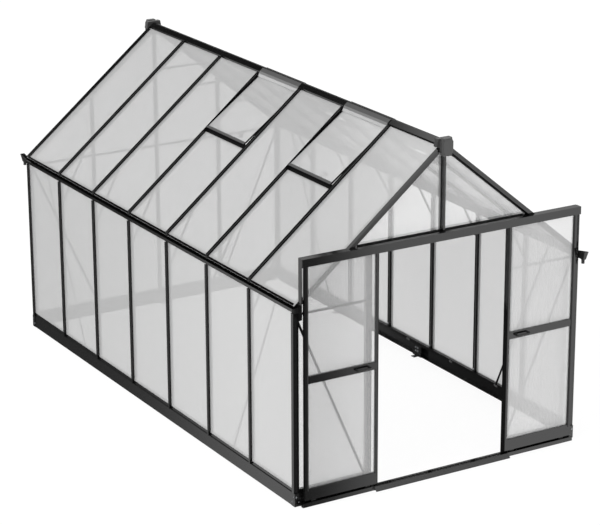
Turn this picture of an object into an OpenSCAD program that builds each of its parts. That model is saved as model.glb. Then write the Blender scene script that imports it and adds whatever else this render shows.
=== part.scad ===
// Hobby greenhouse: aluminium glazing bars on a steel base frame, clear twin-wall
// polycarbonate sheets, two sliding doors in the front gable and two roof vents.
// Frame: X across the front, Y from the front gable (-) to the back gable (+), Z up,
// origin on the ground under the middle of the building. Millimetres.

/* [Overall] */
// width over the outer faces of the two side walls
span_w = 2368; // [1900:2:2900]
// width of one sheet along the side walls, bar centre to bar centre
pitch = 610; // [500:1:750]
// number of sheets along each side wall
bays = 7; // [6:1:10]
// underside of the gutters above the ground
eave_z = 1412; // [1300:1:1800]
// slope of the roof from level, degrees
roof_deg = 39.35; // [30:0.05:46]

/* [Glazing bars] */
// width over the flanges of a glazing bar
bar_w = 26; // [20:1:40]
// depth of a glazing bar from outer to inner flange
bar_d = 30; // [24:1:45]
// wall of the aluminium profiles
skin = 2.4; // [1.6:0.1:3]
// thickness of the twin-wall sheets
sheet_t = 4; // [4:1:6]
// play round sheets and between seated pieces
fit = 0.3; // [0.2:0.1:0.6]
// width of the hollow rib on the outer flange
rib_w = 16; // [12:1:20]
// height of the hollow rib on the outer flange
rib_h = 15; // [8:1:20]

/* [Base] */
// height of the steel base frame
base_h = 97; // [70:1:160]
// wall of the steel base channel
base_t = 2; // [1.5:0.1:3]
// how far the base stands out beyond the walls
base_out = 6; // [4:1:12]
// height of the sill profile on the base
sill_h = 23; // [18:1:35]

/* [Corners and gables] */
// corner post width along the gable
post_w = 33; // [30:1:50]
// gable rafter depth square to the roof
rafter_d = 45; // [42:1:70]
// how far the verge of the roof stands out before the gable
verge = 28; // [20:1:32]
// width of the door jambs
jamb_w = 45; // [36:1:60]
// underside of the door header
header_z = 1752; // [1700:1:1900]
// height of the door header
header_h = 46; // [36:1:60]

/* [Gutter and ridge] */
// how far the gutter lip stands outside the wall
lip_out = 18; // [14:1:40]
// height of the gutter lip
lip_h = 34; // [30:1:48]
// length of the outlet head beyond the gable
outlet_l = 114; // [80:1:160]
// outside diameter of the downpipe spigot
spigot_d = 24; // [20:1:40]
// half width of the ridge capping
ridge_half = 41; // [34:1:60]
// height of the ridge box below the roof apex
ridge_drop = 70; // [60:1:90]

/* [Sliding doors] */
// width of one door leaf
leaf_w = 590; // [560:1:592]
// thickness of a door leaf
leaf_t = 24; // [20:1:32]
// bottom of the door leaves above the ground
leaf_z0 = 47; // [46:1:60]
// how far the door leaves reach up behind the rail skirt
leaf_up = 20; // [16:1:24]
// width of the door stiles
stile_w = 20; // [18:1:40]
// height of the kick plate
kick_h = 85; // [50:1:120]
// bottom edge and height of the middle rail
mid_z = 904; // [700:1:1100]
// height of the middle rail
mid_h = 53; // [30:1:80]
// distance the right leaf stands in from its open stop
right_in = 0; // [0:1:60]
// bottom and height of the top door rail
rail_z = 1744; // [1730:1:1900]
// height of the door rail
rail_h = 57; // [54:1:90]

/* [Roof vents] */
// length of a vent down the slope
vent_l = 590; // [450:5:700]
// height of the vent sash frame
vent_h = 9; // [8:1:14]
// how far a vent stands open, degrees
vent_deg = 3; // [2:0.5:6]

/* [Bracing] */
// width of the flat bracing strips
strip_w = 18; // [12:1:25]
// thickness of the flat bracing strips
strip_t = 3.4; // [3:0.1:4]
// depth of the collar ties below the roof apex
collar_drop = 238; // [180:1:330]

/* [Hidden] */
$fn = 32;

W2 = span_w / 2;
L2 = pitch * bays / 2;
slot = sheet_t + 2 * fit;
ct = cos(roof_deg);
tt = tan(roof_deg);
apex_z = eave_z + 60 + W2 * tt;
gab = span_w / 4;
// inner end of the gutter web, where bars and rafters stop
web_in = 28.4;
box_half = 18;
vent_bays = [3, 5];
sill_top = base_h + fit + sill_h;

// height of the roof plane, moved t square to the roof, at distance x from the middle
function roof_z(x, t = 0) = apex_z - tt * abs(x) + t / ct;
// distance x at which that plane has height z
function roof_x(z, t = 0) = (apex_z + t / ct - z) / tt;
// middle of bar k counted from the back gable
function bar_y(k) = L2 - k * pitch;

ALU = [0.20, 0.21, 0.22];
DARK = [0.10, 0.10, 0.11];
PC = [0.86, 0.88, 0.89, 0.55];

// glazing bar section: outer flange at y = 0, sheet slots, web and inner foot
module plain_bar(w = bar_w, d = bar_d) {
  a = w / 2;
  s2 = skin + slot;
  s3 = s2 + skin;
  polygon([[-a, 0], [a, 0], [a, -skin], [1.5, -skin], [1.5, -s2], [a, -s2], [a, -s3],
    [2, -s3], [2, -d + skin], [8, -d + skin], [8, -d], [-8, -d], [-8, -d + skin],
    [-2, -d + skin], [-2, -s3], [-a, -s3], [-a, -s2], [-1.5, -s2], [-1.5, -skin], [-a, -skin]]);
}

// hollow rib that stands on the outer flange
module rib_section(h = rib_h) {
  difference() {
    translate([-rib_w / 2, -1]) square([rib_w, h + 1]);
    translate([-rib_w / 2 + skin, 0]) square([rib_w - 2 * skin, h - skin]);
  }
}
module bar_section(h = rib_h) {
  plain_bar();
  rib_section(h);
}

// posts: closed chamber with one slot on each of two sides.
// a: width along x, b: depth along y, outer corner at the origin, body towards -x and -y
module corner_section(a, b, reach = 12) {
  s2 = skin + slot;
  s3 = s2 + skin;
  difference() {
    translate([-a, -b]) square([a, b]);
    translate([-s2, -b - 1]) square([slot, reach - 2 + 1]);
    translate([-a - 1, -s2]) square([reach + 1, slot]);
    translate([-a + skin, -b + skin]) square([a - skin - s3, b - skin - s3]);
  }
}

// children built on the right, copied to the left
module both_sides() {
  children();
  mirror([1, 0, 0]) children();
}
module both_ends() {
  children();
  mirror([0, 1, 0]) children();
}
module side(s) {
  if (s > 0) children();
  else mirror([1, 0, 0]) children();
}
// slope frame of the right roof: x down the slope, y along the ridge, z outwards
module on_roof() {
  translate([0, 0, apex_z]) rotate([0, roof_deg, 0]) children();
}
// the band between ridge box and gutter web in which roof members end
module roof_band(extra = 0) {
  translate([box_half + fit, -L2 - 50, 500])
    cube([W2 - web_in - fit - box_half - fit + extra, 2 * L2 + 100, 3500]);
}
// extrude a front-view outline from y0 to y1
module along_y(y0, y1) {
  translate([0, y1, 0]) rotate([90, 0, 0]) linear_extrude(y1 - y0) children();
}
// extrude a section drawn in (y, z) from x0 to x1
module along_x(x0, x1) {
  translate([x0, 0, 0]) rotate([90, 0, 90]) linear_extrude(x1 - x0) children();
}

// ---------------------------------------------------------------- base frame
// C-shaped steel channel, web outside, flanges inwards; x = 0 is the outer face
module base_section() {
  polygon([[0, 0], [30, 0], [30, base_t], [base_t, base_t], [base_t, base_h - base_t],
    [36, base_h - base_t], [36, base_h], [0, base_h]]);
}
module base_rails() {
  color(DARK) {
    e = 36.5;
    both_sides() translate([W2 + base_out, 0, 0]) mirror([1, 0, 0])
      along_y(-(L2 + base_out - e), L2 + base_out - e) base_section();
    translate([0, L2 + base_out, 0]) mirror([0, 1, 0])
      along_x(-(W2 + base_out - e), W2 + base_out - e) base_section();
    both_sides() translate([0, -L2 - base_out, 0])
      along_x(gab + jamb_w / 2 - 3.5 + fit, W2 + base_out - e) base_section();
  }
}
// folded corner sleeves that hold the rails together and carry the posts
module base_corners() {
  color(DARK) both_sides() both_ends() {
    x = W2 + base_out;
    y = L2 + base_out;
    difference() {
      translate([x - 46, y - 46, 0]) cube([46 + 2.8, 46 + 2.8, base_h]);
      translate([x - 47, y - 47, -1]) cube([47 + fit, 10.8, base_h + 2]);
      translate([x - 47, y - 47, -1]) cube([10.8, 47 + fit, base_h + 2]);
      translate([x - 47, y - 47, -1]) cube([47 - base_t, 47 - base_t, base_h - 1.5]);
    }
  }
}
// sill profile under every wall sheet
module sill_section() {
  difference() {
    square([bar_d, sill_h]);
    translate([skin, skin]) square([slot, sill_h]);
    translate([2 * skin + slot, skin]) square([bar_d - 3 * skin - slot, sill_h - 2 * skin]);
  }
}
module sill_rails() {
  color(DARK) translate([0, 0, base_h + fit]) {
    both_sides() translate([W2, 0, 0]) mirror([1, 0, 0])
      along_y(-(L2 - bar_d - fit), L2 - bar_d - fit) sill_section();
    translate([0, L2, 0]) mirror([0, 1, 0])
      along_x(-(W2 - post_w - fit), W2 - post_w - fit) sill_section();
    both_sides() translate([0, -L2, 0])
      along_x(gab + jamb_w / 2 - 3.5 + fit, W2 - post_w - fit) sill_section();
  }
}
// plates over the joints of the base channels, with a ground tab
module base_splices() {
  color(DARK) {
    both_sides() for (y = [-130, 1090]) translate([W2 + base_out - 36 - fit, y, 0]) {
      translate([-3, -60, 0]) cube([3, 120, base_h - 1]);
      translate([-45, -22, 0]) cube([45, 44, 3]);
    }
    translate([0, L2 + base_out - 36 - fit, 0]) {
      translate([-60, -3, 0]) cube([120, 3, base_h - 1]);
      translate([-22, -45, 0]) cube([44, 45, 3]);
    }
  }
}

// ---------------------------------------------------------------- walls
module corner_posts() {
  color(ALU) both_sides() both_ends()
    translate([W2, L2, base_h + fit]) linear_extrude(eave_z - base_h - 2 * fit)
      corner_section(post_w, bar_d);
}
module wall_bars() {
  for (k = [1 : bays - 1]) translate([W2, bar_y(k), sill_top + fit]) rotate([0, 0, -90])
    linear_extrude(eave_z - sill_top - 2 * fit) bar_section();
}
module left_wall_bars() { color(DARK) side(-1) wall_bars(); }
module right_wall_bars() { color(DARK) side(1) wall_bars(); }
module wall_panels() {
  for (i = [0 : bays - 1]) {
    y1 = i == 0 ? L2 - bar_d + 9.5 : bar_y(i) - 2;
    y0 = i == bays - 1 ? -L2 + bar_d - 9.5 : bar_y(i + 1) + 2;
    translate([W2 - skin - fit - sheet_t, y0, base_h + 2 * fit + skin])
      cube([sheet_t, y1 - y0, eave_z - 0.5 - base_h - 2 * fit - skin]);
  }
}
module left_wall_panels() { color(PC) side(-1) wall_panels(); }
module right_wall_panels() { color(PC) side(1) wall_panels(); }

// ---------------------------------------------------------------- gutters
// eave profile: web under the roof sheets, trough outside the wall, rolled lip
module gutter_section() {
  wt = roof_z(W2 - web_in + skin, -(skin + fit + sheet_t + fit)) - eave_z;
  o = lip_out;
  translate([0, eave_z]) polygon([[-post_w, 0], [1, 0], [o - 2.5, 10], [o - 2.5, lip_h - 14], [o, lip_h - 13],
    [o, lip_h], [o - 6, lip_h], [o - 6, lip_h - skin], [o - 2.4, lip_h - skin], [o - 2.4, lip_h - 11.4],
    [o - 4.9, lip_h - 12.4], [o - 4.9, 11.6], [0.2, skin], [-web_in + skin, skin], [-web_in + skin, wt],
    [-web_in, wt], [-web_in, skin], [-post_w, skin]]);
}
module gutter() {
  along_y(-L2, L2) translate([W2, 0]) gutter_section();
}
module left_gutter() { color(DARK) side(-1) gutter(); }
module right_gutter() { color(DARK) side(1) gutter(); }
// end plate of a gutter, outline of the trough
module cap_plate() {
  along_y(-3, 0) polygon([[-web_in - 3, -2], [2, -2], [lip_out - 1, 9], [lip_out + 1.5, lip_h - 13],
    [lip_out + 1.5, lip_h + 1], [-web_in - 3, lip_h + 1]]);
}
// open outlet head with a spigot: right gutter front end, left gutter back end
module outlet_head() {
  translate([W2, -L2 - fit, eave_z]) difference() {
    union() {
      cap_plate();
      along_y(-outlet_l, -1) polygon([[-24, -3], [1, -3], [14, 4], [14, lip_h + 25], [-24, lip_h + 25]]);
      translate([-12, -outlet_l + 32, -33]) cylinder(h = 31, d = spigot_d);
    }
    along_y(-outlet_l + 3, 1) polygon([[-21.2, 0], [0.3, 0], [11.2, 6], [11.2, lip_h + 28], [-21.2, lip_h + 28]]);
    translate([-12, -outlet_l + 32, -34]) cylinder(h = 40, d = spigot_d - 5);
    translate([-60, -outlet_l, lip_h + 25]) rotate([-22, 0, 0]) translate([0, -80, -40]) cube([120, 80, 90]);
  }
}
module gutter_cap() {
  translate([W2, -L2 - fit, eave_z]) cap_plate();
}
module gutter_ends() {
  color(DARK) {
    outlet_head();
    rotate([0, 0, 180]) outlet_head();
    mirror([1, 0, 0]) gutter_cap();
    mirror([0, 1, 0]) gutter_cap();
  }
}

// ---------------------------------------------------------------- roof
// outer part of a roof member, which runs on over the gutter web
module roof_reach() {
  roof_band();
  intersection() {
    on_roof() translate([0, -L2 - 60, -skin - fit - sheet_t]) cube([W2 / ct + 60, 2 * L2 + 120, 60]);
    translate([W2 / 2, -L2 - 50, 500]) cube([W2 / 2 + 1, 2 * L2 + 100, 3500]);
  }
}
// rafter body under the roof sheets: x = 0 is the face of the gable, body towards -x
module rafter_section() {
  s2 = skin + slot;
  difference() {
    translate([-bar_d, -rafter_d]) square([bar_d, rafter_d - s2]);
    translate([-s2, -rafter_d - 1]) square([slot, 11]);
    translate([-bar_d + skin, -rafter_d + skin]) square([bar_d - 2 * skin - s2, rafter_d - s2 - 2 * skin]);
  }
}
verge_fall = 4;
// hollow verge that stands out before the gable and ends the roof sheets
module verge_section() {
  difference() {
    polygon([[-1, -34], [verge, -34], [verge, -skin - verge_fall], [0, -skin], [-1, -skin]]);
    polygon([[skin, skin - 34], [verge - skin, skin - 34], [verge - skin, -2 * skin - verge_fall],
      [skin, -2 * skin - 0.4]]);
    translate([-2, -skin - slot]) square([2, skin + slot]);
  }
}
module gable_rafters() {
  rail_top = rail_z + rail_h + fit + 0.4;
  color(ALU) both_sides() {
    both_ends() intersection() {
      on_roof() translate([0, L2, 0]) rotate([90, 0, 90]) linear_extrude(W2 / ct + 40) rafter_section();
      roof_band();
    }
    intersection() {
      both_ends() on_roof() translate([0, L2, 0]) rotate([90, 0, 90]) linear_extrude(W2 / ct + 40)
        verge_section();
      translate([52, -L2 - 60, 500]) cube([W2 - 136, 2 * L2 + 120, 3500]);
      union() {
        translate([0, 0, 500]) cube([W2, L2 + 60, 3500]);
        translate([0, -L2 - 60, rail_top]) cube([W2, L2 + 60, 3000]);
      }
    }
  }
}
module roof_bars() {
  intersection() {
    on_roof() for (k = [1 : bays - 1]) translate([0, bar_y(k), 0]) rotate([90, 0, 90])
      linear_extrude(W2 / ct + 40) plain_bar();
    roof_reach();
  }
  intersection() {
    on_roof() for (k = [1 : bays - 1]) translate([(ridge_half + 0.6) / ct, bar_y(k), 0]) rotate([90, 0, 90])
      linear_extrude(W2 / ct) rib_section();
    roof_reach();
  }
}
module left_roof_bars() { color(DARK) side(-1) roof_bars(); }
module right_roof_bars() { color(DARK) side(1) roof_bars(); }
// ridge: box tube with a peaked capping over the bar ends
module ridge_beam() {
  r = ridge_half;
  b = box_half;
  color(DARK) along_y(-L2, L2) difference() {
    polygon([[-7, roof_z(7, 10)], [7, roof_z(7, 10)], [r, roof_z(r, 10)], [r, roof_z(r, fit)], [r - skin, roof_z(r - skin, fit)],
      [r - skin, roof_z(r - skin, 7.6)], [b, roof_z(b, 7.6)], [b, apex_z - ridge_drop], [-b, apex_z - ridge_drop],
      [-b, roof_z(b, 7.6)], [-r + skin, roof_z(r - skin, 7.6)], [-r + skin, roof_z(r - skin, fit)],
      [-r, roof_z(r, fit)], [-r, roof_z(r, 10)]]);
    polygon([[0, roof_z(0, 7.6)], [b - skin, roof_z(b - skin, 7.6)], [b - skin, apex_z - ridge_drop + skin],
      [-b + skin, apex_z - ridge_drop + skin], [-b + skin, roof_z(b - skin, 7.6)]]);
  }
}
// moulded end caps: saddle plate against the gable and a proud eight-sided boss
module ridge_caps() {
  color(DARK) translate([0, 0, apex_z]) both_ends() {
    along_y(-L2 - 24, -L2 - fit) polygon([[-60, 31], [60, 31], [70, -34], [49, -45], [-49, -45], [-70, -34]]);
    along_y(-L2 - 62, -L2 - 23) polygon([[-46, -68], [-32, -100], [32, -100], [46, -68], [46, 3], [32, 35],
      [-32, 35], [-46, 3]]);
  }
}
module roof_sheet(i, s0) {
  y1 = i == 0 ? L2 - fit : bar_y(i) - 2;
  y0 = i == bays - 1 ? -L2 + fit : bar_y(i + 1) + 2;
  intersection() {
    on_roof() translate([s0, y0, -skin - fit - sheet_t]) cube([W2 / ct + 60, y1 - y0, sheet_t]);
    roof_band(web_in + fit + 1);
  }
}
module roof_panels() {
  for (i = [0 : bays - 1]) roof_sheet(i, (i == vent_bays[0] || i == vent_bays[1]) ? curb_s + 26.5 : 0);
}
module left_roof_panels() { color(PC) side(-1) roof_panels(); }
module right_roof_panels() { color(PC) side(1) roof_panels(); }

// ---------------------------------------------------------------- gables
// area inside the gable members, moved t square to the roof
module gable_area(t) {
  polygon([[-W2, 0], [W2, 0], [W2, roof_z(W2, t)], [box_half + fit, roof_z(box_half + fit, t)],
    [box_half + fit, apex_z - ridge_drop - fit], [-box_half - fit, apex_z - ridge_drop - fit],
    [-box_half - fit, roof_z(box_half + fit, t)], [-W2, roof_z(W2, t)]]);
}
module back_gable_bars() {
  color(DARK) intersection() {
    for (x = [-gab, 0, gab]) translate([x, L2, sill_top + fit]) linear_extrude(apex_z) bar_section();
    along_y(L2 - 60, L2 + 20) gable_area(-rafter_d - fit);
    union() {
      translate([-W2, L2 - 60, 0]) cube([2 * W2, 60, 4000]);
      translate([-W2, L2 - 60, 0]) cube([2 * W2, 100, apex_z - 101]);
    }
  }
}
// upper edge of gable sheets inside the rafter slots
et = -rafter_d + 9;
pb = base_h + 2 * fit + skin;
xk = (apex_z + et / ct - (apex_z - ridge_drop - 1)) / tt;
module gable_corner_sheet(x0) {
  polygon([[x0, pb], [W2 - post_w + 11.5, pb], [W2 - post_w + 11.5, eave_z - 0.6], [W2 - post_w - 0.6, eave_z - 0.6],
    [W2 - post_w - 0.6, roof_z(W2 - post_w - 0.6, et)], [x0, roof_z(x0, et)]]);
}
module back_gable_panels() {
  color(PC) both_sides() along_y(L2 - skin - fit - sheet_t, L2 - skin - fit) {
    gable_corner_sheet(gab + 2);
    polygon([[2, pb], [gab - 2, pb], [gab - 2, roof_z(gab - 2, et)], [xk, roof_z(xk, et)], [2, roof_z(xk, et)]]);
  }
}
jo = gab + jamb_w / 2 - 3.5;
ji = jo - jamb_w;
module door_jambs() {
  color(ALU) both_sides() translate([jo, -L2, 0]) linear_extrude(header_z - fit) difference() {
    translate([-jamb_w, 0]) square([jamb_w, bar_d]);
    translate([-11.5, skin]) square([12.5, slot]);
    translate([-jamb_w + skin, skin]) square([jamb_w - 2 * skin - 11.5, bar_d - 2 * skin]);
    translate([-13, 2 * skin + slot]) square([13 - skin, bar_d - 3 * skin - slot]);
  }
}
module door_header() {
  color(DARK) intersection() {
    translate([-W2, -L2, header_z]) cube([2 * W2, bar_d, header_h]);
    along_y(-L2 - 10, -L2 + 60) gable_area(-rafter_d - fit);
  }
}
module king_post() {
  color(DARK) translate([0, -L2, header_z + header_h + fit]) rotate([0, 0, 180])
    linear_extrude(apex_z - ridge_drop - fit - header_z - header_h - fit) plain_bar();
  color(DARK) translate([0, -L2, rail_z + rail_h + fit]) rotate([0, 0, 180])
    linear_extrude(apex_z - 101 - rail_z - rail_h - fit) rib_section(30);
}
module front_gable_panels() {
  hx = roof_x(header_z, -rafter_d - fit) + 1;
  ht = header_z + header_h + 0.5;
  color(PC) both_sides() along_y(-L2 + skin + fit, -L2 + skin + fit + sheet_t) {
    polygon([[jo - 11, pb], [W2 - post_w + 11.5, pb], [W2 - post_w + 11.5, eave_z - 0.6],
      [W2 - post_w - 0.6, eave_z - 0.6], [W2 - post_w - 0.6, roof_z(W2 - post_w - 0.6, et)],
      [hx, roof_z(hx, et)], [hx, header_z - 0.5], [jo - 11, header_z - 0.5]]);
    polygon([[2, ht], [roof_x(ht, et), ht], [xk, roof_z(xk, et)], [2, roof_z(xk, et)]]);
  }
}
// level strips across the gables just under the gutters
module gable_ties() {
  z = eave_z - 2 - strip_w;
  color(ALU) {
    translate([-W2 + 9, L2 - bar_d - fit - strip_t, z]) cube([2 * W2 - 18, strip_t, strip_w]);
    translate([ji + 3, -L2 + bar_d + fit, z]) cube([W2 - ji - 12, strip_t, strip_w]);
    // the left front tie lies outside the sheet, like the strip it meets
    translate([-rail_x + 8, -L2 - fit - strip_t, z]) cube([rail_x - 8 - ji - 3, strip_t, strip_w]);
  }
}

// ---------------------------------------------------------------- bracing
// flat strip drawn in a plane from p to q
module strip2d(p, q, w) {
  d = [q[0] - p[0], q[1] - p[1]];
  l = norm(d);
  n = [-d[1], d[0]] * (w / 2 / l);
  polygon([p + n, q + n, q - n, p - n]);
}
module gable_strip(out = 0) {
  strip2d([W2 - 26 + out, eave_z - 2 - strip_w - 8], [gab + 12 + out, sill_top - 8], strip_w);
}
module diagonal_braces() {
  zt = eave_z - 2 * fit - 12;
  color(ALU) {
    // side walls: middle of the end sheet at the eave to middle of the next at the sill
    both_sides() both_ends() translate([W2 - bar_d - fit - strip_t, 0, 0])
      along_x(0, strip_t) strip2d([L2 - pitch / 2, zt], [L2 - 1.5 * pitch, sill_top - 8], strip_w);
    // gables: eave corner to the foot of the next upright
    for (m = [0, 1]) mirror([m, 0, 0]) along_y(L2 - bar_d - fit - strip_t, L2 - bar_d - fit) gable_strip();
    along_y(-L2 + bar_d + fit, -L2 + bar_d + fit + strip_t) gable_strip();
    mirror([1, 0, 0]) along_y(-L2 - fit - strip_t, -L2 - fit) gable_strip(17);
  }
}
module inside_section() {
  polygon([[0, base_h], [W2 - bar_d - fit, base_h], [W2 - bar_d - fit, roof_z(W2 - bar_d - fit, -bar_d - fit)],
    [0, roof_z(0, -bar_d - fit)]]);
}
module knee_braces() {
  color(ALU) both_sides() for (k = [1 : bays - 1]) along_y(bar_y(k) - 3, bar_y(k) + 3) intersection() {
    strip2d([W2 + 30, eave_z - 280], [W2 - 245, eave_z + 255], strip_w - 2);
    inside_section();
  }
}
module collar_ties() {
  z = apex_z - collar_drop;
  color(ALU) for (k = [1 : bays - 1]) along_y(bar_y(k) - 3, bar_y(k) + 3)
    polygon([[-roof_x(z, -bar_d - fit), z], [roof_x(z, -bar_d - fit), z],
      [roof_x(z + 16, -bar_d - fit), z + 16], [-roof_x(z + 16, -bar_d - fit), z + 16]]);
}

// ---------------------------------------------------------------- door rail and track
leaf_y = -L2 - 38;
leaf_z1 = rail_z + leaf_up;
open_x = W2 - post_w - 18;
rail_x = open_x + 17;
// front skirt over the leaf tops, roller channel between two lips, back leg on the header
module door_rail() {
  z0 = rail_z;
  z1 = rail_z + rail_h;
  color(ALU) along_x(-rail_x, rail_x) translate([-L2, 0]) polygon([[-60, z0], [-57.6, z0], [-57.6, z0 + 28],
    [-46, z0 + 28], [-46, z0 + 31], [-57.6, z0 + 31], [-57.6, z1 - 3], [-18.4, z1 - 3], [-18.4, z0 + 31],
    [-30, z0 + 31], [-30, z0 + 28], [-16, z0 + 28], [-16, z1 - 3], [-2.7, z1 - 3], [-2.7, z0 + 2],
    [-fit, z0 + 2], [-fit, z1], [-60, z1]]);
}
// end plates of the rail and the struts down to the eaves
module rail_end_struts() {
  color(DARK) both_sides() translate([rail_x + fit, -L2, 0]) {
    translate([0, -60.5, rail_z - 1]) cube([6, 52.5, rail_h + 1]);
    translate([0, -46, eave_z - 40]) cube([6, 38, rail_z + 50 - eave_z]);
    along_x(0, 6) polygon([[-46, eave_z - 40], [-5, eave_z - 62], [-5, eave_z - 6], [-46, eave_z - 6]]);
  }
}
module bottom_track() {
  color(DARK) along_x(-rail_x - 2, rail_x + 2) translate([-L2, 0]) polygon([[-53, 0], [-50.6, 0], [-50.6, 27.6],
    [-47.4, 27.6], [-47.4, 0], [-28.6, 0], [-28.6, 27.6], [-11.5, 27.6], [-11.5, 0], [-9.1, 0], [-9.1, 30],
    [-31, 30], [-31, 2.4], [-45, 2.4], [-45, 30], [-53, 30]]);
}
// sloping tread plate in front of the doorway
module threshold() {
  color(ALU) along_x(-ji - 7, ji + 7) translate([-L2, 0]) polygon([[-85, 0], [-81, 0], [-55.7, 24.6], [-55.7, 0],
    [-53.3, 0], [-53.3, 28.5], [-57, 28.5]]);
}

// ---------------------------------------------------------------- sliding doors
// a leaf drawn from its outer edge (x = 0) to its meeting edge (x = leaf_w)
win_z = [[leaf_z0 + kick_h, mid_z], [mid_z + mid_h, leaf_z1 - 24]];
module leaf_frame() {
  difference() {
    translate([0, leaf_y - leaf_t / 2, leaf_z0]) cube([leaf_w, leaf_t, leaf_z1 - leaf_z0]);
    for (w = win_z) {
      translate([stile_w, leaf_y - leaf_t, w[0]]) cube([leaf_w - 2 * stile_w, 2 * leaf_t, w[1] - w[0]]);
      translate([stile_w - 10, leaf_y - slot / 2, w[0] - 10])
        cube([leaf_w - 2 * stile_w + 20, slot, w[1] - w[0] + 20]);
    }
  }
}
module leaf_panels() {
  for (w = win_z) translate([stile_w - 9.5, leaf_y - sheet_t / 2, w[0] - 9.5])
    cube([leaf_w - 2 * stile_w + 19, sheet_t, w[1] - w[0] + 19]);
}
// two roller hangers in the rail and two guide fins in the bottom track
module leaf_rollers() {
  rz = rail_z + 31 + fit + 8;
  for (x = [75, leaf_w - 75]) translate([x, leaf_y, 0]) {
    translate([-20, -10, leaf_z1 + fit]) cube([40, 20, 2.4]);
    translate([-15, -2, leaf_z1 + fit]) cube([30, 4, rz + 8 - leaf_z1 - fit]);
    translate([0, -2, rz]) rotate([90, 0, 0]) cylinder(h = 14.5, d = 16);
    translate([0, 16.5, rz]) rotate([90, 0, 0]) cylinder(h = 14.5, d = 16);
    translate([-20, -2, 8]) cube([40, 4, leaf_z0 - fit - 8]);
  }
}
// bow handle on the middle rail
module leaf_handle() {
  hx = leaf_w - 128;
  y0 = leaf_y - leaf_t / 2 - fit;
  zc = mid_z + mid_h / 2;
  for (dx = [-50, 50]) {
    translate([hx + dx, y0, zc]) rotate([90, 0, 0]) cylinder(h = 24, d = 11);
    translate([hx + dx, y0, zc]) rotate([90, 0, 0]) cylinder(h = 3, d = 20);
  }
  translate([hx - 58, y0 - 30, zc - 6]) cube([116, 9, 12]);
}
module at_left() { translate([-open_x, 0, 0]) children(); }
module at_right() { translate([open_x - right_in, 0, 0]) mirror([1, 0, 0]) children(); }
module left_door_frame() { color(ALU) at_left() leaf_frame(); }
module left_door_panels() { color(PC) at_left() leaf_panels(); }
module left_door_rollers() { color(DARK) at_left() leaf_rollers(); }
module left_door_handle() { color(DARK) at_left() leaf_handle(); }
module right_door_frame() { color(ALU) at_right() leaf_frame(); }
module right_door_panels() { color(PC) at_right() leaf_panels(); }
module right_door_rollers() { color(DARK) at_right() leaf_rollers(); }
module right_door_handle() { color(DARK) at_right() leaf_handle(); }

// ---------------------------------------------------------------- roof vents
// two on each slope, drawn on the right and mirrored
vs0 = ridge_half / ct + 1;
curb_s = vent_l + 44;
sash_l = vent_l + 60 - vs0;
sash_w = pitch - bar_w - 6;
module at_vents() {
  both_sides() on_roof() for (i = vent_bays) translate([0, (bar_y(i) + bar_y(i + 1)) / 2, 0]) children();
}
// cross bar that carries the lower sheet
module vent_curbs() {
  h = pitch / 2;
  color(DARK) at_vents() translate([curb_s, 0, -bar_d]) difference() {
    translate([0, -h + 2 + fit, 0]) cube([38, 2 * h - 4 - 2 * fit, bar_d]);
    translate([26, -h, bar_d - skin - slot]) cube([13, 2 * h, slot]);
    both_ends() {
      translate([-1, h - bar_w / 2 - fit, bar_d - 2 * skin - slot - fit]) cube([40, bar_w, bar_d]);
      translate([-1, h - 8 - fit, -1]) cube([40, 9, skin + 1 + fit]);
    }
  }
}
module swung() {
  translate([vs0, 0, -15]) rotate([0, -vent_deg, 0]) children();
}
// sash let in between two bars, and the hinge strip over the ridge capping
module vent_sashes() {
  w = sash_w;
  color(ALU) at_vents() {
    swung() {
      difference() {
        translate([0, -w / 2, 0]) cube([sash_l, w, vent_h]);
        translate([26, -w / 2 + 7, -1]) cube([sash_l - 48, w - 14, vent_h + 2]);
        translate([22, -w / 2 + 3, 2.2]) cube([sash_l - 40, w - 6, slot]);
      }
      // upstand that hooks under the hinge strip
      translate([0, -w / 2, 1]) cube([5, w, 16]);
    }
    translate([0, w / 2, 0]) rotate([90, 0, 0]) linear_extrude(w) polygon([[11, 10 + fit], [11, 14.3],
      [42, 14.3], [vs0 + 4, 5], [vs0 + 4, 2.6], [(ridge_half + fit - 2.6 * sin(roof_deg)) / ct, 2.6],
      [(ridge_half + fit - (10 + fit) * sin(roof_deg)) / ct, 10 + fit]]);
  }
}
module vent_panes() {
  w = sash_w;
  color(PC) at_vents() swung() translate([22.5, -w / 2 + 3.5, 2.2 + fit]) cube([sash_l - 41, w - 7, sheet_t]);
}
// stay: a foot under the sash, a level arm into the building and a knob
module vent_stays() {
  l = sash_l - 24;
  sv = vs0 + l * cos(vent_deg) + 40 * sin(vent_deg);
  hv = -15 + l * sin(vent_deg) - 40 * cos(vent_deg);
  color(DARK) {
    at_vents() swung() translate([l - 4, -7, -42]) cube([8, 14, 42 - fit]);
    both_sides() for (i = vent_bays)
      translate([sv * ct + hv * sin(roof_deg), (bar_y(i) + bar_y(i + 1)) / 2, apex_z - sv * sin(roof_deg) + hv * ct]) {
        translate([-96, -6, -2]) cube([97, 12, 4]);
        translate([-92, 0, -6]) cylinder(h = 24, d = 30);
      }
  }
}

base_rails();
base_corners();
sill_rails();
corner_posts();
left_wall_bars();
right_wall_bars();
left_wall_panels();
right_wall_panels();
left_gutter();
right_gutter();
gutter_ends();
gable_rafters();
left_roof_bars();
right_roof_bars();
ridge_beam();
ridge_caps();
left_roof_panels();
right_roof_panels();
back_gable_bars();
back_gable_panels();
door_jambs();
door_header();
king_post();
front_gable_panels();
gable_ties();
diagonal_braces();
knee_braces();
collar_ties();
door_rail();
rail_end_struts();
bottom_track();
threshold();
vent_curbs();
vent_sashes();
vent_panes();
vent_stays();
base_splices();
left_door_frame();
left_door_panels();
left_door_rollers();
left_door_handle();
right_door_frame();
right_door_panels();
right_door_rollers();
right_door_handle();
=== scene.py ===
import math

import bmesh
import bpy
from mathutils import Matrix, Vector


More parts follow.
